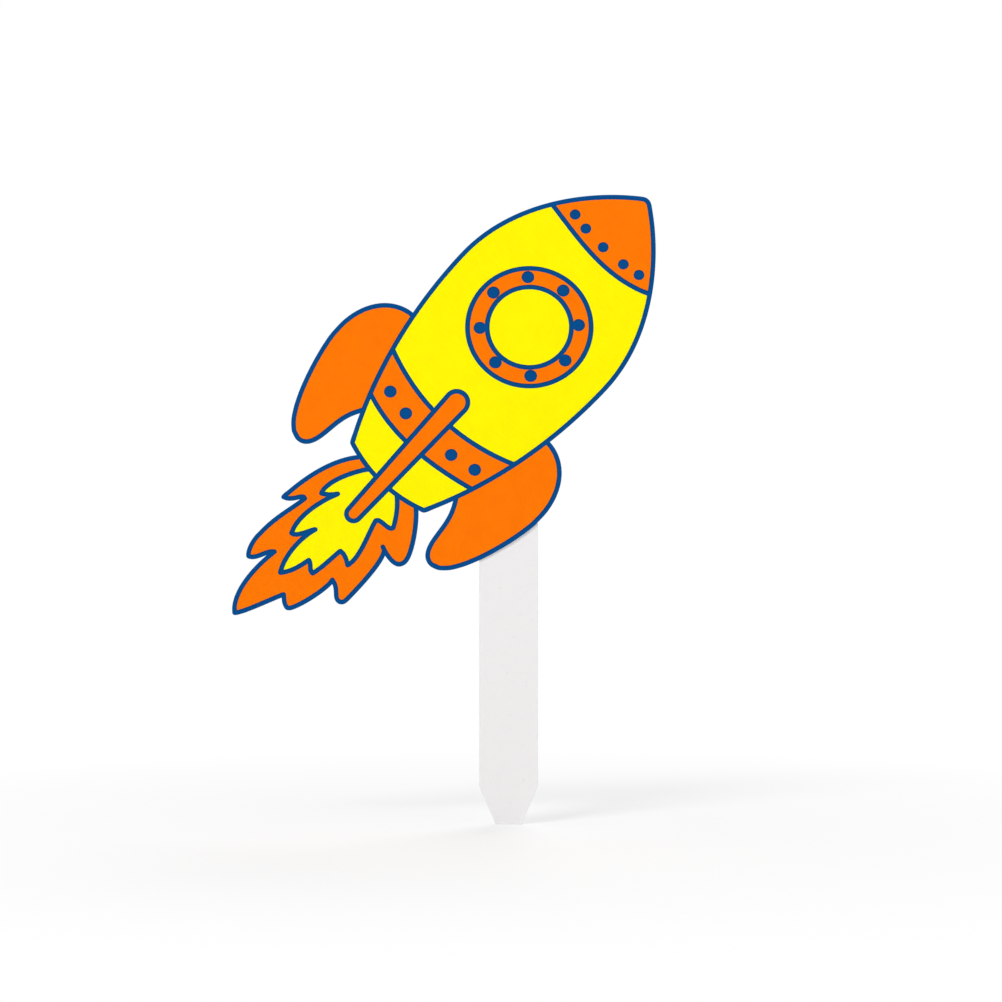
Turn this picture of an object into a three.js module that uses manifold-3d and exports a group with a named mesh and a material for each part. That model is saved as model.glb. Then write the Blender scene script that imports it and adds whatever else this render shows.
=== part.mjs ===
// Cupcake topper: a rocket of layered card, taped to a strip of white card.
//
// Fourteen flat cards make the rocket. Thirteen coloured ones are glued side by side on one blue
// card, which shows between them as the lines of the drawing, through their holes as the rivets,
// and round them as the rim.
//
// Millimetres, +Z up, the rocket's front facing -Y. The origin is on the front face of the strip,
// on its centre line, at the depth to which the strip is pushed in.

import * as THREE from 'three';
import { mergeVertices } from 'three/addons/utils/BufferGeometryUtils.js';
import Module from 'manifold-3d';

const wasm = await Module();
wasm.setup();

// Thickness of each layer, from the back of the topper to its front
const STRIP_THICKNESS = 0.8;
const TAPE_THICKNESS = 0.1;
const BASE_CARD_THICKNESS = 0.4;
const COLOUR_CARD_THICKNESS = 0.25;

// Strip, and the tape that holds the rocket on it
const STRIP_WIDTH = 13.8;
const STRIP_PUSHED_IN = 40;
const POINT_LENGTH = 9;
const POINT_WIDTH = 6;
const TAPE_LENGTH = 28;
const TAPE_MARGIN = 1;

// Where the strip's centre line crosses the rocket's axis: that point's height above the origin,
// its distance up the axis from the hull's foot, and how much further the hidden end of the strip
// reaches
const TILT = THREE.MathUtils.degToRad(43.4);
const CROSSING_HEIGHT = 72.14;
const CROSSING_UP_HULL = 41.38;
const STRIP_PAST_CROSSING = 7;

// Blue that shows between two coloured cards, and outside them as the rim
const LINE_WIDTH = 1.12;

// Hull, to the middle of its blue outline. Drawn by hand, it leans a little to the left as it goes
// up, away from the rocket's axis.
const HULL_WIDTH = 46.1;
const HULL_FOOT_WIDTH = 23.2;
const HULL_FOOT_BOW = 2;
const HULL_WIDEST_HEIGHT = 50.1;
const HULL_ABOVE_WIDEST = 39.1;
const HULL_LEAN = THREE.MathUtils.degToRad(0.19);
const NOSE_TIP_RADIUS = 1.75;
const NOSE_HALF_ANGLE = THREE.MathUtils.degToRad(54.5);

// How full the hull's sides are: where the handles of their two curves lie, as shares of the way
// from the foot's width to the greatest width, of the widest place's height, and of the height
// above it
const FOOT_HANDLE_OUT = 0.66;
const FOOT_HANDLE_UP = 0.3;
const WIDEST_HANDLE_DOWN = 0.35;
const WIDEST_HANDLE_UP = 0.464;
const NOSE_HANDLE_DOWN = 0.28;

// The three lines across the hull: each one's height in its middle, and how far it rises from
// there to the hull's greatest width on both sides. Two of them are uneven: a slant raises the
// line on the right and lowers it on the left in even steps, a swing mostly near the ends.
const NOSE_LINE_ABOVE_PORTHOLE = 22.63;
const NOSE_LINE_RISE = 5.2;
const NOSE_LINE_SLANT = -1;
const NOSE_LINE_SWING = 3.2;
const BAND_TOP_HEIGHT = 18.6;
const BAND_TOP_RISE = 5.35;
const BAND_FOOT_HEIGHT = 8.96;
const BAND_FOOT_RISE = 4.8;
const BAND_FOOT_SLANT = 0.77;
const BAND_FOOT_SWING = -1.44;

// The drawing's circles are ovals, level with the ground, with this ratio of width to height. Their
// diameters below are those of circles with the same area.
const OVAL_ASPECT_RATIO = 1.049;

// Porthole. Its row of rivets is a true circle, raised a little above the porthole's centre, so
// that the upper rivets are holes in the ring and the others notches in its inner edge.
const PORTHOLE_HEIGHT = 48.5;
const WINDOW_DIAMETER = 18.3;
const RING_WIDTH = 3.4;
const RING_RIVETS = 8;
const RING_RIVET_DIAMETER = 2.95;
const RING_RIVET_ROW_DIAMETER = 23.3;
const RING_RIVETS_RAISED = 0.17;

// Rivet holes, their places across given as shares of the hull's half width at their height
const NOSE_RIVET_DIAMETER = 2.5;
const NOSE_RIVETS_ABOVE_LINE = 3.05;
const NOSE_RIVET_PLACES = [-0.685, -0.415, -0.02, 0.39, 0.68];
const BAND_RIVET_DIAMETER = 2.93;
const BAND_RIVETS_UP_BAND = 0.453;
const BAND_RIVET_PLACES = [-0.782, -0.42, 0.427, 0.803];

// Centre fin, a bar with round ends that leans a little to the left as it goes up
const CENTRE_FIN_TOP = 26.47;
const CENTRE_FIN_BELOW_FOOT = 13.66;
const CENTRE_FIN_TOP_WIDTH = 5.3;
const CENTRE_FIN_END_WIDTH = 3.38;
const CENTRE_FIN_LEAN = THREE.MathUtils.degToRad(0.6);

// Side fins
const FIN_TOP = 32;
const FIN_HEIGHT = 40.2;
const FIN_REACH = 9.45;

// Flames
const FLAME_WIDTH = 31.6;
const FLAME_LENGTH = 47.9;

// How finely curves are cut into straight edges, the bend from which a point is a corner, the
// bend and the distance below which it isn't needed, and the thickness in which outlines are
// joined and cut
const CURVE_STEPS = 10;
const RING_STEPS = 80;
const RIVET_STEPS = 24;
const CORNER_ANGLE = THREE.MathUtils.degToRad(25);
const STRAIGHT_ANGLE = THREE.MathUtils.degToRad(0.1);
const LEAST_EDGE = 0.02;
const SLAB_DEPTH = 1;

// Materials
const yellowCard = new THREE.MeshStandardMaterial({ color: 0xfff500, roughness: 0.8, metalness: 0 });
const orangeCard = new THREE.MeshStandardMaterial({ color: 0xff7902, roughness: 0.8, metalness: 0 });
const blueCard = new THREE.MeshStandardMaterial({ color: 0x034d8e, roughness: 0.8, metalness: 0 });
const whiteCard = new THREE.MeshStandardMaterial({ color: 0xeeecec, roughness: 0.85, metalness: 0 });
const clearTape = new THREE.MeshStandardMaterial({ color: 0xe8e6dc, roughness: 0.4, metalness: 0 });

// Each layer's back and front face
const STRIP = { back: STRIP_THICKNESS, front: 0 };
const TAPE = { back: STRIP.front, front: STRIP.front - TAPE_THICKNESS };
const BASE = { back: TAPE.front, front: TAPE.front - BASE_CARD_THICKNESS };
const COLOUR = { back: BASE.front, front: BASE.front - COLOUR_CARD_THICKNESS };

// Outlines are joined and cut as flat slabs, drawn as seen from the front. Each finished card is
// then made afresh from the edge of its slab's top face, in its layer's thickness.

function slab(shape, steps = CURVE_STEPS) {
  const geometry = new THREE.ExtrudeGeometry(shape, {
    depth: SLAB_DEPTH,
    curveSegments: steps,
    bevelEnabled: false,
  });
  geometry.deleteAttribute('normal');
  geometry.deleteAttribute('uv');
  const merged = mergeVertices(geometry);
  return new wasm.Manifold(new wasm.Mesh({
    numProp: 3,
    vertProperties: merged.attributes.position.array,
    triVerts: merged.index.array,
  }));
}

// A full turn has twice as many edges as the steps it is given, so these two pass on half
function disc(x, z, radius, steps) {
  const shape = new THREE.Shape();
  shape.absarc(x, z, radius, 0, 2 * Math.PI, false);
  return slab(shape, steps / 2);
}

// An oval with its long way level when the rocket is tilted
function oval(x, z, diameter, steps) {
  const shape = new THREE.Shape();
  const halfWidth = diameter / 2 * Math.sqrt(OVAL_ASPECT_RATIO);
  const halfHeight = halfWidth / OVAL_ASPECT_RATIO;
  shape.absellipse(x, z, halfWidth, halfHeight, 0, 2 * Math.PI, false, TILT);
  return slab(shape, steps / 2);
}

// The outline of a slab's top face: an outer loop, and a loop for each hole
function trace(solid) {
  const { vertProperties, triVerts } = solid.getMesh();
  const isTop = (vertex) => vertProperties[3 * vertex + 2] > SLAB_DEPTH / 2;
  const edges = new Map();
  for (let i = 0; i < triVerts.length; i += 3) {
    const corners = triVerts.slice(i, i + 3);
    if (corners.every(isTop)) {
      corners.forEach((start, k) => edges.set(`${start} ${corners[(k + 1) % 3]}`, start));
    }
  }
  // An edge that no second top triangle runs back along lies on the outline
  const next = new Map();
  for (const key of edges.keys()) {
    const [start, end] = key.split(' ').map(Number);
    if (!edges.has(`${end} ${start}`)) {
      next.set(start, end);
    }
  }
  const loops = [];
  while (next.size > 0) {
    const loop = [];
    let vertex = next.keys().next().value;
    while (next.has(vertex)) {
      loop.push(new THREE.Vector2(vertProperties[3 * vertex], vertProperties[3 * vertex + 1]));
      const following = next.get(vertex);
      next.delete(vertex);
      vertex = following;
    }
    loops.push(withoutSparePoints(loop));
  }
  const area = (loop) => Math.abs(THREE.ShapeUtils.area(loop));
  loops.sort((a, b) => area(b) - area(a));
  const shape = new THREE.Shape(loops[0]);
  shape.holes = loops.slice(1).map((loop) => new THREE.Path(loop));
  return shape;
}

// Points that all but touch the one before them, or lie on a straight edge, are left out
function withoutSparePoints(loop) {
  return loop
    .filter((point, i) => point.distanceTo(loop.at(i - 1)) > LEAST_EDGE)
    .filter((point, i, kept) => {
      const before = point.clone().sub(kept.at(i - 1));
      const after = kept[(i + 1) % kept.length].clone().sub(point);
      return before.angleTo(after) > STRAIGHT_ANGLE;
    });
}

function join(solids) {
  return solids.reduce((sum, solid) => sum.add(solid));
}

function cut(solid, ...tools) {
  return tools.reduce((rest, tool) => rest.subtract(tool), solid);
}

// The blue line along a row of points: a ribbon for each smooth stretch, and a disc at each corner
function inkLine(points) {
  const stretches = [[points[0]]];
  for (let i = 1; i < points.length; i += 1) {
    stretches.at(-1).push(points[i]);
    if (i < points.length - 1 && turnAt(points, i) > CORNER_ANGLE) {
      stretches.push([points[i]]);
    }
  }
  const corners = stretches.map((stretch) => stretch[0]);
  if (!points[0].equals(points.at(-1))) {
    corners.push(points.at(-1));
  }
  return join([
    ...stretches.map(ribbon),
    ...corners.map((point) => disc(point.x, point.y, LINE_WIDTH / 2, RIVET_STEPS)),
  ]);
}

function turnAt(points, i) {
  const before = points[i].clone().sub(points[i - 1]);
  const after = points[i + 1].clone().sub(points[i]);
  return before.angleTo(after);
}

function ribbon(points) {
  const left = [];
  const right = [];
  for (let i = 0; i < points.length; i += 1) {
    const before = points[Math.max(i, 1)].clone().sub(points[Math.max(i, 1) - 1]).normalize();
    const next = Math.min(i, points.length - 2);
    const after = points[next + 1].clone().sub(points[next]).normalize();
    const along = before.clone().add(after).normalize();
    const reach = LINE_WIDTH / 2 / along.dot(after);
    left.push(new THREE.Vector2(points[i].x - along.y * reach, points[i].y + along.x * reach));
    right.push(new THREE.Vector2(points[i].x + along.y * reach, points[i].y - along.x * reach));
  }
  return slab(new THREE.Shape([...left, ...right.reverse()]));
}

// Cubic curves after each other, each row giving its two handles and its end
function addCurves(path, place, rows) {
  for (const [first, second, end] of rows) {
    path.bezierCurveTo(...place(first), ...place(second), ...place(end));
  }
  return path;
}

function mirrored(points) {
  return points.map((point) => new THREE.Vector2(-point.x, point.y));
}

// Hull. Heights are measured up the rocket's axis from the level of the hull's two lower corners.

const hullHalf = HULL_WIDTH / 2;
const footHalf = HULL_FOOT_WIDTH / 2;
const hullTop = HULL_WIDEST_HEIGHT + HULL_ABOVE_WIDEST;
const tipCentre = hullTop - NOSE_TIP_RADIUS;
const tipStart = new THREE.Vector2(
  NOSE_TIP_RADIUS * Math.cos(NOSE_HALF_ANGLE),
  tipCentre + NOSE_TIP_RADIUS * Math.sin(NOSE_HALF_ANGLE),
);

// The right side runs from the foot out to the widest place and in to the tip's round
const footHandle = THREE.MathUtils.lerp(footHalf, hullHalf, FOOT_HANDLE_OUT);
const hullSideLow = new THREE.CubicBezierCurve(
  new THREE.Vector2(footHalf, 0),
  new THREE.Vector2(footHandle, FOOT_HANDLE_UP * HULL_WIDEST_HEIGHT),
  new THREE.Vector2(hullHalf, (1 - WIDEST_HANDLE_DOWN) * HULL_WIDEST_HEIGHT),
  new THREE.Vector2(hullHalf, HULL_WIDEST_HEIGHT),
);
const noseHandle = NOSE_HANDLE_DOWN * HULL_ABOVE_WIDEST;
const hullSideHigh = new THREE.CubicBezierCurve(
  new THREE.Vector2(hullHalf, HULL_WIDEST_HEIGHT),
  new THREE.Vector2(hullHalf, HULL_WIDEST_HEIGHT + WIDEST_HANDLE_UP * HULL_ABOVE_WIDEST),
  new THREE.Vector2(
    tipStart.x + noseHandle * Math.sin(NOSE_HALF_ANGLE),
    tipStart.y - noseHandle * Math.cos(NOSE_HALF_ANGLE),
  ),
  tipStart,
);
const noseTip = new THREE.EllipseCurve(
  0, tipCentre, NOSE_TIP_RADIUS, NOSE_TIP_RADIUS, NOSE_HALF_ANGLE, Math.PI / 2, false,
);
const hullRightSide = [
  ...hullSideLow.getPoints(2 * CURVE_STEPS),
  ...hullSideHigh.getPoints(2 * CURVE_STEPS).slice(1),
  ...noseTip.getPoints(CURVE_STEPS / 2).slice(1),
];
const hullFoot = new THREE.QuadraticBezierCurve(
  new THREE.Vector2(-footHalf, 0),
  new THREE.Vector2(0, -2 * HULL_FOOT_BOW),
  new THREE.Vector2(footHalf, 0),
);
const uprightHull = [
  ...hullFoot.getPoints(CURVE_STEPS),
  ...hullRightSide.slice(1),
  ...mirrored(hullRightSide).reverse().slice(1),
];
const hullOutline = uprightHull.map((point) => new THREE.Vector2(
  point.x - Math.tan(HULL_LEAN) * point.y,
  point.y,
));

function hullHalfWidthAt(height) {
  const above = hullRightSide.findIndex((point) => point.y > height);
  const low = hullRightSide[above - 1];
  const high = hullRightSide[above];
  return THREE.MathUtils.mapLinear(height, low.y, high.y, low.x, high.x);
}

function heightOnLine(x, height, rise, slant = 0, swing = 0) {
  const out = x / hullHalf;
  return height + slant * out + rise * out ** 2 + swing * out ** 3;
}

// A line across the hull, bowed towards the foot, drawn out to the hull's greatest width
function lineAcross(...values) {
  return Array.from({ length: 2 * CURVE_STEPS + 1 }, (_, i) => {
    const x = (i / CURVE_STEPS - 1) * hullHalf;
    return new THREE.Vector2(x, heightOnLine(x, ...values));
  });
}

const noseLineHeight = PORTHOLE_HEIGHT + NOSE_LINE_ABOVE_PORTHOLE;
const noseLine = lineAcross(noseLineHeight, NOSE_LINE_RISE, NOSE_LINE_SLANT, NOSE_LINE_SWING);
const bandTop = [BAND_TOP_HEIGHT, BAND_TOP_RISE];
const bandFoot = [BAND_FOOT_HEIGHT, BAND_FOOT_RISE, BAND_FOOT_SLANT, BAND_FOOT_SWING];
const bandTopLine = lineAcross(...bandTop);
const bandFootLine = lineAcross(...bandFoot);
const aboveHull = lineAcross(hullTop + LINE_WIDTH, 0);
const belowHull = lineAcross(-HULL_FOOT_BOW - LINE_WIDTH, 0);

const hullInside = cut(slab(new THREE.Shape(hullOutline)), inkLine(hullOutline));

// The part of the hull between two of the lines across it
function hullBetween(lower, upper) {
  const zone = slab(new THREE.Shape([...lower, ...upper.slice().reverse()]));
  return cut(hullInside.intersect(zone), inkLine(lower), inkLine(upper));
}

// Half of a card, on one side of the rocket's axis
function half(solid, side) {
  const zone = new THREE.Shape([
    new THREE.Vector2(0, -hullTop),
    new THREE.Vector2(side * HULL_WIDTH, -hullTop),
    new THREE.Vector2(side * HULL_WIDTH, 2 * hullTop),
    new THREE.Vector2(0, 2 * hullTop),
  ]);
  return solid.intersect(slab(zone));
}

// Centre fin

// The bar's shape, its edge moved out by a given distance
function centreFinShape(growth) {
  const topRadius = CENTRE_FIN_TOP_WIDTH / 2;
  const endRadius = CENTRE_FIN_END_WIDTH / 2;
  const topCentre = CENTRE_FIN_TOP - topRadius;
  const endCentre = endRadius - CENTRE_FIN_BELOW_FOOT;
  const taper = Math.asin((topRadius - endRadius) / (topCentre - endCentre));
  const shape = new THREE.Shape();
  shape.absarc(0, topCentre, topRadius + growth, -taper, Math.PI + taper, false);
  shape.absarc(0, endCentre, endRadius + growth, Math.PI + taper, 2 * Math.PI - taper, false);
  return shape;
}

function centreFinSlab(growth) {
  return slab(centreFinShape(growth)).rotate([0, 0, THREE.MathUtils.radToDeg(CENTRE_FIN_LEAN)]);
}

const centreFin = centreFinSlab(-LINE_WIDTH / 2);
const centreFinPlace = centreFinSlab(LINE_WIDTH / 2);

// Nose cone, with a row of rivet holes along its lower edge

const noseRivetHeight = noseLineHeight + NOSE_RIVETS_ABOVE_LINE;
const noseHalf = hullHalfWidthAt(noseRivetHeight);
const noseRivetHoles = NOSE_RIVET_PLACES.map((place) => {
  const x = place * noseHalf;
  const z = heightOnLine(x, noseRivetHeight, NOSE_LINE_RISE);
  return oval(x, z, NOSE_RIVET_DIAMETER, RIVET_STEPS);
});
const noseCone = cut(hullBetween(noseLine, aboveHull), ...noseRivetHoles);

// Porthole: a window inside a ring with rivets

const ringInnerDiameter = WINDOW_DIAMETER + 2 * LINE_WIDTH;
const ringOuterDiameter = ringInnerDiameter + 2 * RING_WIDTH;
const openingDiameter = ringOuterDiameter + 2 * LINE_WIDTH;

const portholeWindow = oval(0, PORTHOLE_HEIGHT, WINDOW_DIAMETER, RING_STEPS);
const rivetRowX = -RING_RIVETS_RAISED * Math.sin(TILT);
const rivetRowZ = PORTHOLE_HEIGHT + RING_RIVETS_RAISED * Math.cos(TILT);
const ringRivetHoles = Array.from({ length: RING_RIVETS }, (_, i) => {
  const angle = 2 * Math.PI * i / RING_RIVETS;
  const x = rivetRowX + RING_RIVET_ROW_DIAMETER / 2 * Math.cos(angle);
  const z = rivetRowZ + RING_RIVET_ROW_DIAMETER / 2 * Math.sin(angle);
  return oval(x, z, RING_RIVET_DIAMETER, RIVET_STEPS);
});
const portholeRing = cut(
  oval(0, PORTHOLE_HEIGHT, ringOuterDiameter, RING_STEPS),
  oval(0, PORTHOLE_HEIGHT, ringInnerDiameter, RING_STEPS),
  ...ringRivetHoles,
);
const portholeOpening = oval(0, PORTHOLE_HEIGHT, openingDiameter, RING_STEPS);

// Hull panel, band and tail. The centre fin lies over all three and cuts the last two in half.

const hullPanel = cut(hullBetween(bandTopLine, noseLine), portholeOpening, centreFinPlace);

function upBand(x) {
  const foot = heightOnLine(x, ...bandFoot);
  const top = heightOnLine(x, ...bandTop);
  return THREE.MathUtils.lerp(foot, top, BAND_RIVETS_UP_BAND);
}

const bandHalf = hullHalfWidthAt(upBand(0));
const bandRivetHoles = BAND_RIVET_PLACES.map((place) => {
  const x = place * bandHalf;
  return oval(x, upBand(x), BAND_RIVET_DIAMETER, RIVET_STEPS);
});
const band = cut(hullBetween(bandFootLine, bandTopLine), centreFinPlace, ...bandRivetHoles);
const tail = cut(hullBetween(belowHull, bandFootLine), centreFinPlace);

// Side fins. Places are shares of the fin's reach beyond the hull's greatest width, and of its
// height from the top down. The fin runs on under the hull, which covers it.

function onFin([across, down]) {
  return [hullHalf + across * FIN_REACH, FIN_TOP - down * FIN_HEIGHT];
}

const finEdge = new THREE.Path();
finEdge.moveTo(...onFin([-0.145, 0.008]));
addCurves(finEdge, onFin, [
  [[0.618, 0.018], [1.041, 0.19], [1.004, 0.374]],
  [[1.041, 0.476], [0.505, 0.995], [-0.144, 0.995]],
  [[-0.499, 0.995], [-0.523, 0.882], [-0.557, 0.817]],
  [[-0.61, 0.701], [-0.703, 0.67], [-0.848, 0.607]],
]);
finEdge.lineTo(...onFin([-1.11, 0.54]));
const rightFinEdge = finEdge.getPoints(CURVE_STEPS);
const rightFinOutline = [...rightFinEdge, new THREE.Vector2(...onFin([-1.11, 0]))];
const leftFinEdge = mirrored(rightFinEdge);
const leftFinOutline = mirrored(rightFinOutline);

// Flames. Places are hundredths of the flame's width, from the rocket's axis, and of its length,
// from the hull's foot down. Both flames run on under the hull.

function onFlame([across, down]) {
  return [across / 100 * FLAME_WIDTH, -down / 100 * FLAME_LENGTH];
}

const outerFlameEdge = new THREE.Path();
outerFlameEdge.moveTo(...onFlame([-19.6, -3.3]));
outerFlameEdge.lineTo(...onFlame([-25.7, 2.8]));
addCurves(outerFlameEdge, onFlame, [
  // left side: three licks, each down to its tip and back up into the notch below it
  [[-39.5, 13.2], [-44.6, 28.9], [-46.3, 42.7]],
  [[-38.6, 41.1], [-37.6, 34.6], [-33.9, 36]],
  [[-36, 45.1], [-40.5, 52.4], [-40.3, 64.2]],
  [[-40.7, 67.5], [-38.9, 73.6], [-34.9, 75.7]],
  [[-28.6, 74.1], [-28.2, 67.2], [-23, 65.3]],
  [[-25.7, 75], [-26.3, 93.7], [-13.4, 100.7]],
  // right side: up again, past three shorter ones
  [[-8.8, 97.7], [-0.2, 82.5], [3.8, 77.5]],
  [[6.6, 79.1], [8.4, 80.8], [12.5, 81.1]],
  [[17.1, 80.6], [25, 59.7], [22.7, 55.8]],
  [[30.3, 56.7], [32.2, 61.1], [36.4, 61.3]],
  [[39.1, 61.4], [40.4, 60], [40.5, 58.4]],
  [[40.9, 53.2], [41.3, 26.1], [33.2, 26.9]],
  [[38.6, 28.4], [54.9, 31.6], [52.5, 23.1]],
  [[50.8, 17.9], [40.3, 7.3], [31.4, 1.9]],
]);
outerFlameEdge.lineTo(...onFlame([25.9, -3.5]));
const outerFlameOutline = outerFlameEdge.getPoints(CURVE_STEPS);

const innerFlameEdge = new THREE.Path();
innerFlameEdge.moveTo(...onFlame([-8.2, -4.2]));
innerFlameEdge.lineTo(...onFlame([-14.3, 3.9]));
addCurves(innerFlameEdge, onFlame, [
  [[-20.9, 9.3], [-31.4, 22.4], [-27.6, 28.5]],
  [[-23.4, 27.3], [-20.3, 24.8], [-18.4, 23.2]],
  [[-23.7, 31.1], [-29.4, 44.2], [-23.4, 52.9]],
  [[-18.2, 52.7], [-14.6, 44.8], [-12.3, 43.5]],
  [[-16.2, 51.1], [-16, 63.4], [-9.2, 70.8]],
  [[-3.2, 66.4], [-1.9, 61.4], [-0.1, 56.7]],
  [[3.6, 57.3], [5.1, 60.4], [8.7, 60.1]],
  [[11.2, 54.1], [11, 48.2], [12.3, 42.8]],
  [[16.6, 42.3], [20.7, 44], [23.5, 45.4]],
  [[26.8, 38.6], [18, 26.6], [15.9, 20]],
  [[17.7, 17.1], [27.4, 19.7], [29.1, 16.7]],
  [[26.8, 13.2], [21.1, 7.5], [15, 4.1]],
]);
innerFlameEdge.lineTo(...onFlame([8.2, -2.5]));
const innerFlameOutline = innerFlameEdge.getPoints(CURVE_STEPS);

// The part of the drawing inside an outline, without and with the blue line along its edge
function inside(outline, edge = outline) {
  return cut(slab(new THREE.Shape(outline)), inkLine(edge));
}

function insideWithLine(outline, edge = outline) {
  return slab(new THREE.Shape(outline)).add(inkLine(edge));
}

const hullPlace = insideWithLine(hullOutline);
const outerFlame = cut(inside(outerFlameOutline), insideWithLine(innerFlameOutline), hullPlace);
const innerFlame = cut(inside(innerFlameOutline), centreFinPlace, hullPlace);
const rightFin = cut(inside(rightFinOutline, rightFinEdge), hullPlace);
const leftFin = cut(inside(leftFinOutline, leftFinEdge), hullPlace);

// Blue base card: all of the drawing and the line round it, in one piece

const baseCard = join([
  hullPlace,
  insideWithLine(outerFlameOutline),
  insideWithLine(rightFinOutline, rightFinEdge),
  insideWithLine(leftFinOutline, leftFinEdge),
]);

// Strip with a blunt point, and the tape inside its upper end

const stripTop = CROSSING_HEIGHT + STRIP_PAST_CROSSING;
const stripShape = new THREE.Shape([
  new THREE.Vector2(-STRIP_WIDTH / 2, stripTop),
  new THREE.Vector2(-STRIP_WIDTH / 2, POINT_LENGTH - STRIP_PUSHED_IN),
  new THREE.Vector2(-POINT_WIDTH / 2, -STRIP_PUSHED_IN),
  new THREE.Vector2(POINT_WIDTH / 2, -STRIP_PUSHED_IN),
  new THREE.Vector2(STRIP_WIDTH / 2, POINT_LENGTH - STRIP_PUSHED_IN),
  new THREE.Vector2(STRIP_WIDTH / 2, stripTop),
]);
const tapeHalf = STRIP_WIDTH / 2 - TAPE_MARGIN;
const tapeTop = stripTop - TAPE_MARGIN;
const tapeShape = new THREE.Shape([
  new THREE.Vector2(-tapeHalf, tapeTop),
  new THREE.Vector2(-tapeHalf, tapeTop - TAPE_LENGTH),
  new THREE.Vector2(tapeHalf, tapeTop - TAPE_LENGTH),
  new THREE.Vector2(tapeHalf, tapeTop),
]);

// Assembly

function addCard(parent, name, shape, layer, material) {
  const geometry = new THREE.ExtrudeGeometry(shape, {
    depth: layer.back - layer.front,
    bevelEnabled: false,
  });
  geometry.rotateX(Math.PI / 2);
  geometry.translate(0, layer.back, 0);
  const mesh = new THREE.Mesh(geometry, material);
  mesh.name = name;
  parent.add(mesh);
}

const group = new THREE.Group();
addCard(group, 'support_strip', stripShape, STRIP, whiteCard);
addCard(group, 'adhesive_tape', tapeShape, TAPE, clearTape);

// The rocket turns about the crossing point, so the strip stays behind it at any tilt
const rocket = new THREE.Group();
rocket.rotation.y = TILT;
rocket.position.set(
  -CROSSING_UP_HULL * Math.sin(TILT),
  0,
  CROSSING_HEIGHT - CROSSING_UP_HULL * Math.cos(TILT),
);
group.add(rocket);

addCard(rocket, 'base_card', trace(baseCard), BASE, blueCard);
addCard(rocket, 'nose_cone', trace(noseCone), COLOUR, orangeCard);
addCard(rocket, 'hull_panel', trace(hullPanel), COLOUR, yellowCard);
addCard(rocket, 'porthole_ring', trace(portholeRing), COLOUR, orangeCard);
addCard(rocket, 'porthole_window', trace(portholeWindow), COLOUR, yellowCard);
addCard(rocket, 'band_left', trace(half(band, -1)), COLOUR, orangeCard);
addCard(rocket, 'band_right', trace(half(band, 1)), COLOUR, orangeCard);
addCard(rocket, 'tail_left', trace(half(tail, -1)), COLOUR, yellowCard);
addCard(rocket, 'tail_right', trace(half(tail, 1)), COLOUR, yellowCard);
addCard(rocket, 'centre_fin', trace(centreFin), COLOUR, orangeCard);
addCard(rocket, 'left_fin', trace(leftFin), COLOUR, orangeCard);
addCard(rocket, 'right_fin', trace(rightFin), COLOUR, orangeCard);
addCard(rocket, 'outer_flame', trace(outerFlame), COLOUR, orangeCard);
addCard(rocket, 'inner_flame', trace(innerFlame), COLOUR, yellowCard);

export default group;
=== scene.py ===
"""A cupcake topper: a rocket of layered card, taped to the front of a strip of white board."""

import math

import bpy
import numpy as np
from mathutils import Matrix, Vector
from mathutils.geometry import delaunay_2d_cdt
from mathutils.kdtree import KDTree


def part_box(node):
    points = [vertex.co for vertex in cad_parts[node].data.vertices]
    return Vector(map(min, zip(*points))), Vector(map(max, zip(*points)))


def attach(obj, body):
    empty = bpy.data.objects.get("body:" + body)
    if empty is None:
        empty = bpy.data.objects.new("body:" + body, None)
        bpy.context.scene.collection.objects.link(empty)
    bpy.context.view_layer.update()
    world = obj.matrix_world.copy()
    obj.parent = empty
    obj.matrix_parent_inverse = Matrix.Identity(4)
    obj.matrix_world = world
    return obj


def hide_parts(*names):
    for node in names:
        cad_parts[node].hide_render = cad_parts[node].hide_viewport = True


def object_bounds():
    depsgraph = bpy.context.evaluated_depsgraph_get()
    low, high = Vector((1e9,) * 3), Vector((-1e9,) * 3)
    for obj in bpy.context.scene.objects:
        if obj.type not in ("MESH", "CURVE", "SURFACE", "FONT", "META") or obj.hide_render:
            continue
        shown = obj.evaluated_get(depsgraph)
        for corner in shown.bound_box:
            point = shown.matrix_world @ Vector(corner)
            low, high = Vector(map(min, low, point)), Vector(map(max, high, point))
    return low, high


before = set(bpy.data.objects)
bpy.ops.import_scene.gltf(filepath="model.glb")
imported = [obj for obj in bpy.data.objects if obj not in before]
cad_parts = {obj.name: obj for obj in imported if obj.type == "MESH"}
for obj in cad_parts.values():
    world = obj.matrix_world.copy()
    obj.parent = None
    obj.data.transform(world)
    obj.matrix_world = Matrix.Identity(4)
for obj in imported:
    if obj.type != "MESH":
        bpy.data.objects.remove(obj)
cad_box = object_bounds()


# The strip is off-white board, cut to width on a guillotine and snipped to a blunt point at its
# lower end. Its cut sides show a greyer core between two white faces.

MM = 0.001

# Along a cut, in mm: from one point to the next, and the length from which it was made straight
CUT_STEP = 0.3
STRAIGHT_CUT = 4

# The bend that makes a corner, the share of a narrow tongue's width that the rounding of one edge
# may take, and how fast the rounding may grow from one point to the next, in mm
CORNER = math.radians(25)
ROUNDED_SHARE = 0.22
ROUNDING_GROWTH = 0.02

# Where the middle of an edge's rounding lies, as a share of its depth, and the limit for a sharp
# corner, which moves into the card by no more than the rounding divided by it
ROUNDING_MIDDLE = 0.3
CORNER_LIMIT = 0.5

# Between the places on a card's face, in gaps: from row to row, and how far each may stray
ROWS_APART = 0.87
STRAY = 0.15

# A distance that counts as none and one beyond any card, in mm, and a slope that counts as none
NO_DISTANCE = 0.001
FAR_AWAY = 1000
NO_SLOPE = 1e-9


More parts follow.
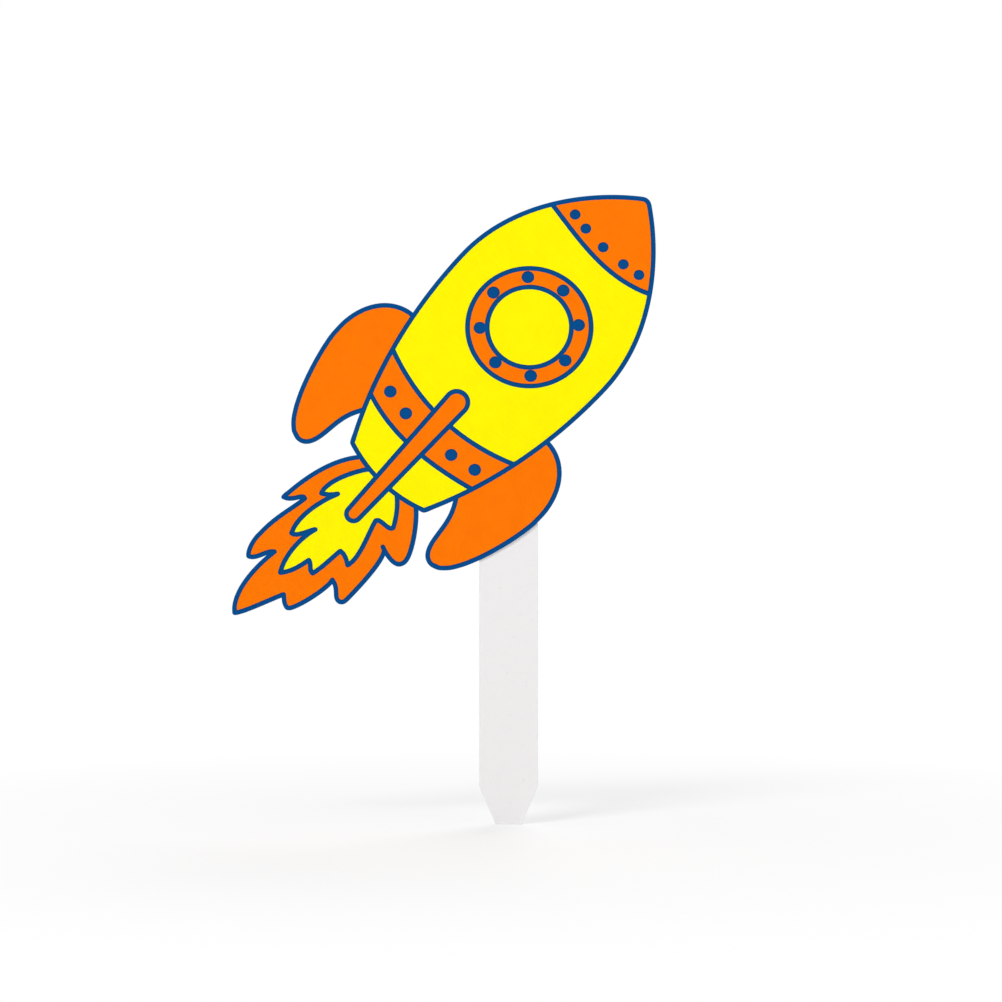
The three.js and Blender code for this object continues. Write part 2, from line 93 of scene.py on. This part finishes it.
def card_outlines(node):
    """The outlines of a flat piece's front, as rows of (x, z) in mm with the card on their left."""
    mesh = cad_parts[node].data
    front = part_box(node)[0].y
    edges = set()
    for face in mesh.polygons:
        corners = [mesh.vertices[i].co for i in face.vertices]
        if all(abs(corner.y - front) < NO_DISTANCE * MM for corner in corners):
            places = [(round(corner.x / MM, 4), round(corner.z / MM, 4)) for corner in corners]
            edges.update(zip(places, places[1:] + places[:1]))
    following = dict(sorted(edge for edge in edges if edge[::-1] not in edges))
    outlines = []
    while following:
        outline = [next(iter(following))]
        while outline[-1] in following:
            outline.append(following.pop(outline[-1]))
        outlines.append(np.array(outline[:-1]))
    return outlines


def turns(points):
    """How far a closed row of points turns at each of them, in radians."""
    before = points - np.roll(points, 1, 0)
    after = np.roll(points, -1, 0) - points
    cross = before[:, 0] * after[:, 1] - before[:, 1] * after[:, 0]
    return np.arctan2(np.abs(cross), (before * after).sum(1))


def without_slivers(points, shortest):
    """The closed row without its shortest edges, each taken away at its straighter end."""
    while True:
        lengths = np.linalg.norm(np.roll(points, -1, 0) - points, axis=1)
        i = int(lengths.argmin())
        if lengths[i] >= shortest:
            return points
        j = (i + 1) % len(points)
        bends = turns(points)
        points = np.delete(points, i if bends[i] < bends[j] else j, 0)


def along_curve(points, closed):
    """Even points on a smooth curve through a row of points, up to but without its end."""
    spare = 3 if closed else 0
    if closed:
        points = np.concatenate([points[-spare:], points, points[:spare + 1]])
    lengths = np.linalg.norm(np.diff(points, axis=0), axis=1)
    places = np.concatenate([[0], np.cumsum(lengths)])
    slopes = np.gradient(points, places, axis=0, edge_order=2 if len(points) > 2 else 1)
    start, end = places[spare], places[len(places) - 1 - spare]
    count = max(1, round((end - start) / CUT_STEP))
    wanted = np.linspace(start, end, count + 1)[:-1]
    i = np.clip(np.searchsorted(places, wanted, side="right") - 1, 0, len(lengths) - 1)
    length = lengths[i][:, None]
    t = (wanted - places[i])[:, None] / length
    return (
        (1 + 2 * t) * (1 - t) ** 2 * points[i]
        + t * (1 - t) ** 2 * length * slopes[i]
        + t ** 2 * (3 - 2 * t) * points[i + 1]
        - t ** 2 * (1 - t) * length * slopes[i + 1]
    )


def even_outline(points):
    """A closed outline with even steps: its curves made smooth, its corners and long cuts kept."""
    points = without_slivers(points, CUT_STEP / 4)
    straight = np.linalg.norm(np.roll(points, -1, 0) - points, axis=1) > STRAIGHT_CUT
    corners = np.flatnonzero((turns(points) > CORNER) | straight | np.roll(straight, 1))
    if len(corners) == 0:
        return along_curve(points, closed=True)
    points = np.roll(points, -corners[0], 0)
    ends = np.append(corners - corners[0], len(points))
    points = np.concatenate([points, points[:1]])
    stretches = [points[a:b + 1] for a, b in zip(ends, ends[1:])]
    return np.concatenate([along_curve(stretch, closed=False) for stretch in stretches])


def ways_inwards(outline, outlines):
    """For each point of an outline, the way into the card and how far it is to the other side."""
    along = np.roll(outline, -1, 0) - outline
    along /= np.linalg.norm(along, axis=1)[:, None]
    left = np.stack([-along[:, 1], along[:, 0]], 1)
    way = left + np.roll(left, 1, 0)
    way /= np.linalg.norm(way, axis=1)[:, None]
    starts = np.concatenate(outlines)
    sides = np.concatenate([np.roll(other, -1, 0) - other for other in outlines])
    apart = starts[None] - outline[:, None]
    slant = way[:, None, 0] * sides[None, :, 1] - way[:, None, 1] * sides[None, :, 0]
    slant[np.abs(slant) < NO_SLOPE] = NO_SLOPE
    reach = (apart[..., 0] * sides[None, :, 1] - apart[..., 1] * sides[None, :, 0]) / slant
    share = (apart[..., 0] * way[:, None, 1] - apart[..., 1] * way[:, None, 0]) / slant
    crossed = (reach > NO_DISTANCE) & (share >= 0) & (share <= 1)
    across = np.where(crossed, reach, FAR_AWAY).min(1)
    return way / np.maximum((way * left).sum(1), CORNER_LIMIT)[:, None], across


def moved_inwards(outline, outlines, distance):
    """An outline moved into the card, less far where the card is narrow."""
    way, across = ways_inwards(outline, outlines)
    room = np.minimum(distance, ROUNDED_SHARE * across)
    for _ in range(4):
        beside = np.minimum(np.roll(room, 1), np.roll(room, -1))
        room = np.minimum(room, beside + ROUNDING_GROWTH)
    return outline + room[:, None] * way


def on_card(places, outlines):
    """Which places lie on the card, by counting the outlines crossed on the way out."""
    found = np.zeros(len(places), bool)
    for outline in outlines:
        for (x1, z1), (x2, z2) in zip(outline, np.roll(outline, -1, 0)):
            if z1 != z2:
                crossed = (z1 > places[:, 1]) != (z2 > places[:, 1])
                found ^= crossed & (places[:, 0] < x1 + (places[:, 1] - z1) * (x2 - x1) / (z2 - z1))
    return found


def spread_over(outlines, gap, seed):
    """Places all over the card, about a gap apart and clear of its edges."""
    low = np.min([outline.min(0) for outline in outlines], axis=0)
    high = np.max([outline.max(0) for outline in outlines], axis=0)
    columns = np.arange(low[0], high[0], gap)
    rows = np.arange(low[1], high[1], gap * ROWS_APART)
    across, up = np.meshgrid(columns, rows)
    across[1::2] += gap / 2
    places = np.stack([across.ravel(), up.ravel()], 1)
    places += np.random.default_rng(seed).uniform(-STRAY, STRAY, places.shape) * gap
    places = places[on_card(places, outlines)]
    edge = np.concatenate(outlines)
    tree = KDTree(len(edge))
    for i, (x, z) in enumerate(edge):
        tree.insert((x, z, 0), i)
    tree.balance()
    return np.array([p for p in places if tree.find((*p, 0))[2] > gap / 2]).reshape(-1, 2)


def edge_pairs(outlines):
    """The edges of all outlines, each as the numbers of its two points, counted right through."""
    pairs = []
    for outline in outlines:
        start, size = len(pairs), len(outline)
        pairs += [(start + i, start + (i + 1) % size) for i in range(size)]
    return pairs


def flat_face(rim, gap, seed):
    """Places in the middle of a card's face, and its triangles, which count the rim's points first."""
    middle = spread_over(rim, gap, seed)
    # Vectors hold 32-bit numbers, so the test for triangles on the card is given the same ones
    rim = [outline.astype(np.float32).astype(float) for outline in rim]
    points = [Vector(point) for point in np.concatenate(rim + [middle])]
    made, _, triangles, origins, _, _ = delaunay_2d_cdt(points, edge_pairs(rim), [], 0, 1e-6)
    centres = np.array([np.mean([made[i] for i in triangle], axis=0) for triangle in triangles])
    kept = [triangle for triangle, good in zip(triangles, on_card(centres, rim)) if good]
    return middle, [[origins[i][0] for i in triangle] for triangle in kept]


def cut_side(front, back, rounding):
    """Rows round the card from its front to its back: how far in, how deep, and 1 on the cut."""
    middle = ROUNDING_MIDDLE * rounding
    return [
        (rounding, front, 0.0),
        (middle, front + middle, 1.0),
        (0.0, front + rounding, 1.0),
        (0.0, back - rounding, 1.0),
        (middle, back - middle, 1.0),
        (rounding, back, 0.0),
    ]


def cut_out(node, rounding, gap=1.2, cockle=None, sheet_turn=0.0, sheet_place=(0.0, 0.0)):
    """A flat piece of card in a node's place, with the edges of both faces a little rounded.

    cockle gives how far back the card lies at rows of x and z. The attribute sheet holds each point's
    place on the sheet of card that the piece was cut from, and cut_edge is 1 on its cut sides.
    """
    front, back = (corner.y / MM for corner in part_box(node))
    outlines = [even_outline(outline) for outline in card_outlines(node)]
    pairs = edge_pairs(outlines)
    ring = len(pairs)
    rows = cut_side(front, back, rounding)
    flat, depth, cut, faces = [], [], [], []
    for row, (inwards, y, on_cut) in enumerate(rows):
        flat += [moved_inwards(outline, outlines, inwards) for outline in outlines]
        depth.append(np.full(ring, y))
        cut.append(np.full(ring, on_cut))
        if row > 0:
            faces += [(a - ring, a, b, b - ring) for a, b in np.array(pairs) + row * ring]

    rim = flat[:len(outlines)]
    middle, triangles = flat_face(rim, gap, seed=len(node))
    flat += [middle, middle]
    depth += [np.full(len(middle), front), np.full(len(middle), back)]
    cut.append(np.zeros(2 * len(middle)))
    to_back = (len(rows) - 1) * ring
    for triangle in triangles:
        faces.append([i if i < ring else i + to_back for i in triangle])
        faces.append([i + to_back + (0 if i < ring else len(middle)) for i in reversed(triangle)])

    x, z = np.concatenate(flat).T
    y = np.concatenate(depth)
    if cockle is not None:
        y = y + cockle(x, z)
    mesh = bpy.data.meshes.new(node + "_cut")
    mesh.from_pydata((np.stack([x, y, z], 1) * MM).tolist(), [], faces)
    mesh.shade_smooth()
    rims = {frozenset((a + row, b + row)) for a, b in pairs for row in (0, to_back)}
    for edge in mesh.edges:
        edge.use_edge_sharp = frozenset(edge.vertices) in rims
    mesh.attributes.new("cut_edge", "FLOAT", "POINT").data.foreach_set("value", np.concatenate(cut))
    c, s = math.cos(sheet_turn), math.sin(sheet_turn)
    sheet = np.stack([c * x - s * z + sheet_place[0], y, s * x + c * z + sheet_place[1]], 1)
    mesh.attributes.new("sheet", "FLOAT_VECTOR", "POINT").data.foreach_set("vector", sheet.ravel())
    piece = bpy.data.objects.new(node + "_cut", mesh)
    bpy.context.scene.collection.objects.link(piece)
    return piece


def add_node(tree, kind, sockets, **settings):
    """A shader node, its sockets set to values or joined to other nodes' outputs."""
    node = tree.nodes.new("ShaderNode" + kind)
    for name, value in settings.items():
        setattr(node, name, value)
    for name, value in sockets.items():
        if isinstance(value, bpy.types.NodeSocket):
            tree.links.new(value, node.inputs[name])
        else:
            node.inputs[name].default_value = value
    return node


def mix(tree, share, first, second):
    """Two colours or values mixed: a share of 0 gives the first, 1 the second."""
    return add_node(tree, "MixRGB", {"Fac": share, "Color1": first, "Color2": second}).outputs[0]


def work_out(tree, operation, *values):
    """A sum, product or the like of textures and numbers."""
    return add_node(tree, "Math", dict(enumerate(values)), operation=operation).outputs[0]


def spread(tree, value, low, high):
    """A texture's value spread out so that low becomes 0 and high becomes 1."""
    ends = {"Value": value, "From Min": low, "From Max": high}
    return add_node(tree, "MapRange", ends).outputs["Result"]


def noise(tree, place, **sockets):
    """An even noise; its scale is in waves to the mm where its place is in mm."""
    return add_node(tree, "TexNoise", {"Vector": place, **sockets}).outputs["Fac"]


def paper_grain(tree, sheet, size):
    """Fibres lying mostly along the sheet's grain: fine streaks, size mm wide."""
    scales = {"Vector": sheet, "Scale": (0.12 / size, 1 / size, 1 / size)}
    stretched = add_node(tree, "Mapping", scales).outputs["Vector"]
    return spread(tree, noise(tree, stretched, Scale=1.0, Detail=3.0, Distortion=0.6), 0.3, 0.7)


def matt_finish(tree, roughness, specular, colour, height, tooth_depth):
    """The shader's colour and roughness, and a tooth that many mm deep."""
    shader = tree.nodes["Principled BSDF"]
    shader.inputs["Roughness"].default_value = roughness
    shader.inputs["Specular IOR Level"].default_value = specular
    tree.links.new(colour, shader.inputs["Base Color"])
    bump = add_node(tree, "Bump", {"Height": height, "Strength": 1.0, "Distance": tooth_depth * MM})
    tree.links.new(bump.outputs["Normal"], shader.inputs["Normal"])


def new_material(name):
    """A new material and its node tree."""
    material = bpy.data.materials.new(name)
    material.use_nodes = True
    return material, material.node_tree


def read_attribute(tree, name):
    """What cut_out wrote at each point of the card."""
    return add_node(tree, "Attribute", {}, attribute_name=name).outputs


def white_board():
    """Matt board: off-white faces with faint flecks, and a greyer, streaky core."""
    face, fleck = (0.853, 0.836, 0.838, 1), (0.74, 0.73, 0.72, 1)
    core, ply = (0.72, 0.7, 0.67, 1), (0.5, 0.48, 0.44, 1)
    material, tree = new_material("white_board")
    sheet = read_attribute(tree, "sheet")["Vector"]
    grain = paper_grain(tree, sheet, size=0.35)
    sparse = spread(tree, noise(tree, sheet, Scale=1.3, Detail=2.0), 0.64, 0.78)
    speckled = mix(tree, sparse, face, fleck)
    streaked = mix(tree, work_out(tree, "MULTIPLY", grain, 0.06), speckled, fleck)
    layered = mix(tree, work_out(tree, "MULTIPLY", grain, 0.6), core, ply)
    sided = mix(tree, read_attribute(tree, "cut_edge")["Fac"], streaked, layered)
    tooth = noise(tree, sheet, Scale=1.6, Detail=4.0)
    matt_finish(
        tree, roughness=0.85, specular=0.2, colour=sided, height=mix(tree, 0.4, tooth, grain),
        tooth_depth=0.012,
    )
    return material


strip = cut_out("support_strip", rounding=0.06, gap=2.0, sheet_turn=math.pi / 2)
strip.data.materials.append(white_board())
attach(strip, "root")
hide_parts("support_strip")


# The tape is a short piece of double-sided film with sticky faces, pressed on the strip's upper
# end. The blue card goes on it, so only its thin edges can be seen, from the side.

def tape_film():
    """Milky film with a few trapped air bubbles."""
    milky, bubble = (0.80, 0.79, 0.72, 1), (0.88, 0.88, 0.85, 1)
    material, tree = new_material("tape_film")
    shader = tree.nodes["Principled BSDF"]
    shader.inputs["Roughness"].default_value = 0.35
    place = add_node(tree, "TexCoord", {}).outputs["Object"]
    cloud = noise(tree, place, Scale=0.3 / MM, Detail=2.0)
    colour = mix(tree, spread(tree, cloud, 0.55, 0.7), milky, bubble)
    tree.links.new(colour, shader.inputs["Base Color"])
    return material


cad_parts["adhesive_tape"].data.materials[0] = tape_film()


# The base is one sheet of heavy blue card, coloured through, cut to the rocket's whole outline.
# It is flat where the tape holds it on the strip and a little cockled elsewhere.

# Depth of the cockles, and how far from the tape they reach it, in mm
COCKLE_DEPTH = 0.14
COCKLE_FADE = 8

# Each wave of the cockles: its turn to the mm across and up, its start, and its share
COCKLE_WAVES = [
    (0.31, 0.12, 1.0, 1.0),
    (-0.14, 0.27, 2.6, 1.0),
    (0.45, -0.38, 0.0, 0.6),
]


def cockle(x, z):
    """How far back the glued cards lie from flat, in mm: slow waves that die out over the tape."""
    low, high = (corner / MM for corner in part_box("adhesive_tape"))
    outside = np.hypot(
        np.maximum(np.maximum(low.x - x, x - high.x), 0),
        np.maximum(np.maximum(low.z - z, z - high.z), 0),
    )
    free = np.clip(outside / COCKLE_FADE, 0, 1)
    waves = sum(part * np.sin(a * x + b * z + start) for a, b, start, part in COCKLE_WAVES)
    crest = sum(part for *_, part in COCKLE_WAVES)
    return COCKLE_DEPTH * free * free * (3 - 2 * free) * (1 + waves / crest) / 2


def fine_fibres(tree, sheet, size):
    """Thin hairs lying every way, about size mm apart: the lines where a noise crosses its middle."""
    cloud = noise(tree, sheet, Scale=1 / size, Detail=2.0, Roughness=0.4, Distortion=1.2)
    off_middle = work_out(tree, "ABSOLUTE", work_out(tree, "SUBTRACT", cloud, 0.5))
    return spread(tree, off_middle, 0.016, 0.0)


def card_stock(name, full, deep, cut_edge):
    """Matt card coloured through: clouds and fibres between two shades, and lighter cut edges, scuffed
    and with a painted highlight.
    """
    material, tree = new_material(name)
    sheet = read_attribute(tree, "sheet")["Vector"]
    clouds = spread(tree, noise(tree, sheet, Scale=0.22, Detail=3.0), 0.35, 0.65)
    body = mix(tree, mix(tree, 0.55, clouds, paper_grain(tree, sheet, size=0.3)), full, deep)
    hairs = fine_fibres(tree, sheet, size=0.55)
    haired = mix(tree, work_out(tree, "MULTIPLY", hairs, 0.3), body, cut_edge)
    # The cut sides take half of the lighter cut_edge colour: partly scuffed fibres, partly a painted
    # highlight.
    scuff_and_highlight = work_out(tree, "MULTIPLY", read_attribute(tree, "cut_edge")["Fac"], 0.5)
    tooth = noise(tree, sheet, Scale=2.2, Detail=4.0, Roughness=0.6)
    matt_finish(
        tree, roughness=0.85, specular=0.04, colour=mix(tree, scuff_and_highlight, haired, cut_edge),
        height=mix(tree, 0.3, tooth, hairs), tooth_depth=0.05,
    )
    return material


# Each stock's cut_edge colour tints its hairs, and half of it goes on its cut sides as scuffs with a
# painted highlight.
STOCKS = {}
STOCKS["blue_card"] = card_stock(
    "blue_stock", full=(0.0009, 0.078, 0.285, 1), deep=(0.0007, 0.066, 0.245, 1),
    cut_edge=(0.03, 0.13, 0.36, 1),
)
base = cut_out("base_card", rounding=0.06, cockle=cockle, sheet_turn=0.3)
base.data.materials.append(STOCKS["blue_card"])
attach(base, "root")
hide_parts("base_card")


# The hull is four kinds of card glued on the base a line's width apart: an orange nose cone with a
# row of punched holes, a yellow panel, and an orange band and a yellow tail in two halves each.

STOCKS["yellow_card"] = card_stock(
    "yellow_stock", full=(1.0, 0.936, 0.0, 1), deep=(0.975, 0.872, 0.0, 1),
    cut_edge=(1.0, 0.96, 0.06, 1),
)
STOCKS["orange_card"] = card_stock(
    "orange_stock", full=(1.0, 0.198, 0.0004, 1), deep=(0.96, 0.174, 0.0004, 1),
    cut_edge=(1.0, 0.3, 0.03, 1),
)


def glue_on(node, stock, sheet_turn, sheet_place):
    """One coloured card, cut out and glued on the base, whose cockles it follows.

    It was cut from its sheet of card at that place, in mm, and turned by so many radians.
    """
    card = cut_out(
        node, rounding=0.05, cockle=cockle, sheet_turn=sheet_turn, sheet_place=sheet_place,
    )
    card.data.materials.append(STOCKS[stock])
    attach(card, "root")
    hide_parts(node)


glue_on("nose_cone", "orange_card", 0.2, (40, 0))
glue_on("hull_panel", "yellow_card", 0.76, (0, 0))
glue_on("band_left", "orange_card", 1.5, (90, 20))
glue_on("band_right", "orange_card", 1.1, (150, 40))
glue_on("tail_left", "yellow_card", 0.4, (70, 90))
glue_on("tail_right", "yellow_card", 1.3, (120, 60))


# The porthole lies in the hull panel's opening: an orange ring with rivet holes and notches, and a
# yellow disc inside it.

glue_on("porthole_ring", "orange_card", 0.9, (200, 0))
glue_on("porthole_window", "yellow_card", 1.9, (200, 150))


# The fins are three pieces of orange card. The one in the middle is a bar with round ends, glued
# down over the hull's foot and the flame; the other two butt against the hull, a line's width off.

glue_on("centre_fin", "orange_card", 0.76, (260, 0))
glue_on("left_fin", "orange_card", 0.1, (0, 200))
glue_on("right_fin", "orange_card", 1.7, (90, 200))


# The flame is orange card cut into licks, with a smaller yellow flame let into it. Both are glued
# on the base below the hull's foot, and the yellow one makes room for the centre fin.

glue_on("outer_flame", "orange_card", 0.5, (0, 300))
glue_on("inner_flame", "yellow_card", 1.2, (90, 300))


# The topper stands over a plain white table, the strip's blunt end on the table top. The table
# takes its soft shadow near by and is plain white further off.

TABLE_SIZE = 6.0
TABLE_NEAR = 0.05
TABLE_FAR = 0.2


def white_table():
    """Matt white with the topper's shadow on it, which turns to plain white as it goes off."""
    material, tree = new_material("white_table")
    shader = tree.nodes["Principled BSDF"]
    shader.inputs["Base Color"].default_value = (0.9, 0.9, 0.9, 1)
    shader.inputs["Roughness"].default_value = 0.9
    shader.inputs["Specular IOR Level"].default_value = 0.1
    place = add_node(tree, "TexCoord", {}).outputs["Object"]
    away = add_node(tree, "VectorMath", {0: place}, operation="LENGTH").outputs["Value"]
    ends = {"Value": away, "From Min": TABLE_NEAR, "From Max": TABLE_FAR, "To Min": 0.5}
    whitened = add_node(tree, "MapRange", ends).outputs["Result"]
    seen = add_node(tree, "LightPath", {}).outputs["Is Camera Ray"]
    share = work_out(tree, "MULTIPLY", whitened, seen)
    white = add_node(tree, "Emission", {"Color": (1, 1, 1, 1), "Strength": 1.0})
    mixed = add_node(tree, "MixShader", {0: share, 1: shader.outputs[0], 2: white.outputs[0]})
    tree.links.new(mixed.outputs[0], tree.nodes["Material Output"].inputs["Surface"])
    return material


half = TABLE_SIZE / 2
corners = [(-half, -half, 0), (half, -half, 0), (half, half, 0), (-half, half, 0)]
table_mesh = bpy.data.meshes.new("table_top")
table_mesh.from_pydata(corners, [], [(0, 1, 2, 3)])
table = bpy.data.objects.new("table_top", table_mesh)
table.location.z = cad_box[0].z
table.data.materials.append(white_table())
bpy.context.scene.collection.objects.link(table)


# Soft studio light: a large lamp from the upper left, a weaker one from the right, one from behind
# for the back of the topper, and an even white surround.

ROCKET_MIDDLE = Vector((0, 0, 0.06))
SURROUND_STRENGTH = 0.4


def lamp(name, place, size, power):
    """A square soft box that shines at the middle of the rocket."""
    light = bpy.data.lights.new(name, "AREA")
    light.size = size
    light.energy = power
    holder = bpy.data.objects.new(name, light)
    holder.location = place
    aim = ROCKET_MIDDLE - holder.location
    holder.rotation_euler = aim.to_track_quat("-Z", "Y").to_euler()
    bpy.context.scene.collection.objects.link(holder)


lamp("key_lamp", (-0.5, -0.7, 0.8), size=0.4, power=6.0)
lamp("fill_lamp", (0.8, -0.8, 0.4), size=0.8, power=3.0)
lamp("back_lamp", (0.3, 0.9, 0.7), size=0.8, power=6.2)

world = bpy.data.worlds.new("white_surround")
world.use_nodes = True
bpy.context.scene.world = world
tree = world.node_tree
dim = tree.nodes["Background"]
dim.inputs["Color"].default_value = (1, 1, 1, 1)
dim.inputs["Strength"].default_value = SURROUND_STRENGTH
bright = add_node(tree, "Background", {"Color": (1, 1, 1, 1), "Strength": 1.0})
path = add_node(tree, "LightPath", {}).outputs
seen = work_out(tree, "MAXIMUM", path["Is Camera Ray"], path["Is Glossy Ray"])
shown = work_out(tree, "MAXIMUM", seen, path["Is Transmission Ray"])
chosen = add_node(tree, "MixShader", {0: shown, 1: dim.outputs[0], 2: bright.outputs[0]})
tree.links.new(chosen.outputs[0], tree.nodes["World Output"].inputs["Surface"])
bpy.context.scene.view_settings.view_transform = "Standard"


# The camera looks straight at the rocket's face from some way off. The photograph is 1002 pixels
# wide at 424 pixels to the rocket's 100 mm, and the frame's origin lies at pixel 508.6, 655.

PHOTO_WIDTH = 1002
PHOTO_ORIGIN = (508.6, 655)
PIXEL = 0.1 / 424
LENS = 100
SENSOR = 36

lens = bpy.data.cameras.new("camera")
lens.lens = LENS
lens.sensor_width = SENSOR
camera = bpy.data.objects.new("camera", lens)
rocket_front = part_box("hull_panel")[0].y
camera.location = (
    (PHOTO_WIDTH / 2 - PHOTO_ORIGIN[0]) * PIXEL,
    rocket_front - PHOTO_WIDTH * PIXEL * LENS / SENSOR,
    (PHOTO_ORIGIN[1] - PHOTO_WIDTH / 2) * PIXEL,
)
camera.rotation_euler = (math.pi / 2, 0, 0)
bpy.context.scene.collection.objects.link(camera)
bpy.context.scene.camera = camera
